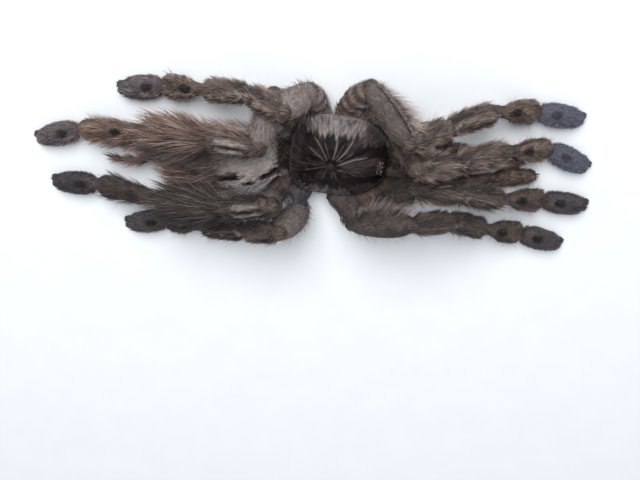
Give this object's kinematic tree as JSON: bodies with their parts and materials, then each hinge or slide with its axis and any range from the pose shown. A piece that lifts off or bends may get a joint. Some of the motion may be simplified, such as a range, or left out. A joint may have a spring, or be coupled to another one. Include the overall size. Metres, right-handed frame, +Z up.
{
  "type": "togo starburst tarantula",
  "caption": "Still life-size model of a grey-brown hairy tarantula with a dark starburst on its carapace, resting flat with its legs drawn along the body.",
  "frame": {"origin": "on the floor under the middle of the spider's reach", "axes": "+X to the head, +Y to the spider's left, +Z up"},
  "size_m": [0.0857, 0.0334, 0.0148],
  "materials": {
    "coat_taupe": "taupe hair, long and tawny on the hind legs",
    "coat_grey": "short smooth grey hair over thick leg bases",
    "foot_pad": "dense grey hair with dark oval spots, matt pads below",
    "abdomen": "mauve-grey hair with black bars and chevrons",
    "carapace": "short felt of grey hair, dark brown starburst with pale rays",
    "sternum": "dark brown short hair",
    "chelicera": "dark brown hair over thick jaws",
    "fang": "polished black-brown horn",
    "eyes": "glossy black lenses on a dark red-brown mound",
    "spinneret": "taupe hair over slender two-jointed spinnerets",
    "pedicel": "bare grey-brown waist"
  },
  "bodies": {
    "root": {"abdomen": "abdomen", "carapace": "carapace", "chelicera_left": "chelicera", "chelicera_right": "chelicera", "eyes": "eyes", "fang_left": "fang", "fang_right": "fang", "leg_1_left_coxa": "coat_grey", "leg_1_left_femur": "coat_grey", "leg_1_left_foot": "foot_pad", "leg_1_left_patella": "coat_taupe", "leg_1_left_tibia": "coat_taupe", "leg_1_right_coxa": "coat_grey", "leg_1_right_femur": "coat_grey", "leg_1_right_foot": "foot_pad", "leg_1_right_patella": "coat_taupe", "leg_1_right_tibia": "coat_taupe", "leg_2_left_coxa": "coat_grey", "leg_2_left_femur": "coat_grey", "leg_2_left_foot": "foot_pad", "leg_2_left_patella": "coat_taupe", "leg_2_left_tibia": "coat_taupe", "leg_2_right_coxa": "coat_grey", "leg_2_right_femur": "coat_grey", "leg_2_right_foot": "foot_pad", "leg_2_right_patella": "coat_taupe", "leg_2_right_tibia": "coat_taupe", "leg_3_left_coxa": "coat_grey", "leg_3_left_femur": "coat_grey", "leg_3_left_foot": "foot_pad", "leg_3_left_patella": "coat_taupe", "leg_3_left_tibia": "coat_taupe", "leg_3_right_coxa": "coat_grey", "leg_3_right_femur": "coat_grey", "leg_3_right_foot": "foot_pad", "leg_3_right_patella": "coat_taupe", "leg_3_right_tibia": "coat_taupe", "leg_4_left_coxa": "coat_grey", "leg_4_left_femur": "coat_grey", "leg_4_left_foot": "foot_pad", "leg_4_left_patella": "coat_taupe", "leg_4_left_tibia": "coat_taupe", "leg_4_right_coxa": "coat_grey", "leg_4_right_femur": "coat_grey", "leg_4_right_foot": "foot_pad", "leg_4_right_patella": "coat_taupe", "leg_4_right_tibia": "coat_taupe", "palp_left_femur": "coat_taupe", "palp_left_tarsus": "foot_pad", "palp_left_tibia": "coat_taupe", "palp_right_femur": "coat_taupe", "palp_right_tarsus": "foot_pad", "palp_right_tibia": "coat_taupe", "pedicel": "pedicel", "spinneret_left": "spinneret", "spinneret_right": "spinneret", "sternum": "sternum"}
  },
  "joints": []
}
